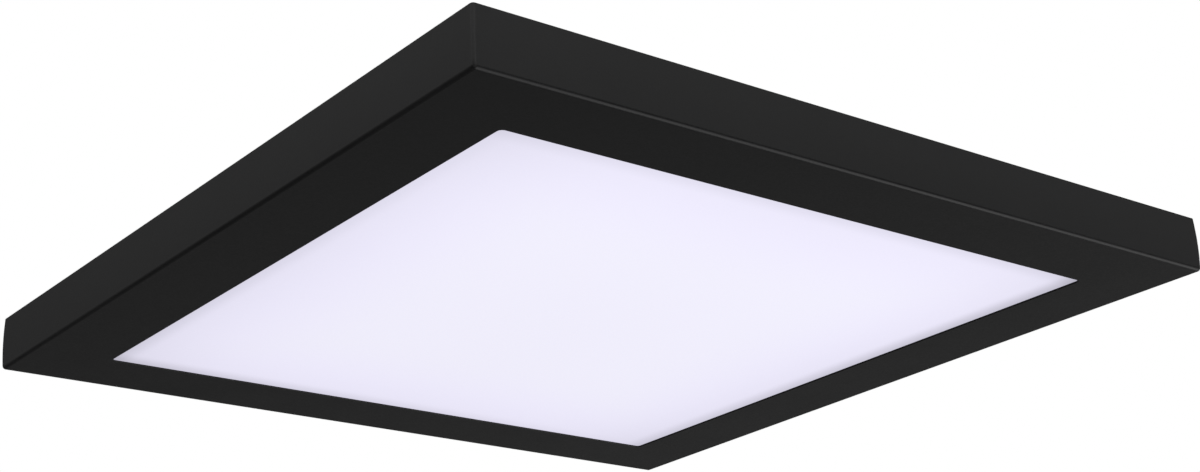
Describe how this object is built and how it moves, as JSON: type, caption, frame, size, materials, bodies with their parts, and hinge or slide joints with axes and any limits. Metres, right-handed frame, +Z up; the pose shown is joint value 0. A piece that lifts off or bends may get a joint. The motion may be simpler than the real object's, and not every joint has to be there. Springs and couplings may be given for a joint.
{
  "type": "surface-mount led panel light",
  "caption": "Flat square ceiling light with a black frame and a lit opal diffuser, edge-lit from inside, which clips up onto a steel ceiling bracket with its driver behind it.",
  "frame": {"origin": "middle of the bracket's two box-screw slots, in the ceiling plane", "axes": "+Z up into the ceiling, so the lit face looks along -Z; +X along the bracket; +Y towards the driver"},
  "size_m": [0.305, 0.305, 0.0195],
  "materials": {
    "black_coat": "satin",
    "opal_sheet": "matte",
    "clear_acrylic": "gloss",
    "white_film": "matte",
    "grey_foam": "matte",
    "bare_aluminium": "satin",
    "white_circuit": "satin",
    "led_phosphor": "gloss",
    "zinc_plate": "satin",
    "screw_steel": "polished",
    "bracket_steel": "satin",
    "spring_steel": "polished",
    "case_plastic": "matte",
    "green_circuit": "satin",
    "ferrite": "matte",
    "coil_tape": "gloss",
    "can_sleeve": "gloss",
    "chip_black": "matte",
    "fuse_glass": "gloss",
    "black_rubber": "matte",
    "red_wire": "satin",
    "black_wire": "satin",
    "white_wire": "satin",
    "nylon": "satin",
    "green_screw": "satin"
  },
  "bodies": {
    "bracket": {"mounting_bracket": "bracket_steel", "clip_right": "spring_steel", "clip_left": "spring_steel", "ground_screw": "green_screw"},
    "luminaire": {"back_plate": "zinc_plate", "back_plate_screws": "screw_steel", "diffuser": "opal_sheet", "driver_base": "case_plastic", "driver_board": "green_circuit", "driver_choke": "ferrite", "driver_controller": "chip_black", "driver_cover": "case_plastic", "driver_fuse": "fuse_glass", "driver_input_capacitor": "can_sleeve", "driver_output_capacitor": "can_sleeve", "driver_rectifier": "chip_black", "driver_screws": "screw_steel", "foam_pad": "grey_foam", "heat_rail_front": "bare_aluminium", "heat_rail_left": "bare_aluminium", "heat_rail_rear": "bare_aluminium", "heat_rail_right": "bare_aluminium", "jumper_leads": "white_wire", "keeper_left": "zinc_plate", "keeper_right": "zinc_plate", "lead_saddles": "nylon", "led_board_front": "white_circuit", "led_board_left": "white_circuit", "led_board_rear": "white_circuit", "led_board_right": "white_circuit", "led_chips_front": "led_phosphor", "led_chips_left": "led_phosphor", "led_chips_rear": "led_phosphor", "led_chips_right": "led_phosphor", "led_lead_black": "black_wire", "led_lead_red": "red_wire", "light_guide": "clear_acrylic", "plate_grommet": "black_rubber", "reflector_sheet": "white_film", "supply_bush": "black_rubber", "transformer_coil": "coil_tape", "transformer_core": "ferrite", "trim_frame": "black_coat"}
  },
  "joints": [
    {"name": "luminaire_release", "type": "slide", "parent": "bracket", "child": "luminaire", "axis": [0, 0, -1], "range_m": [0, 0.04], "deforming": ["clip_right", "clip_left"]}
  ]
}
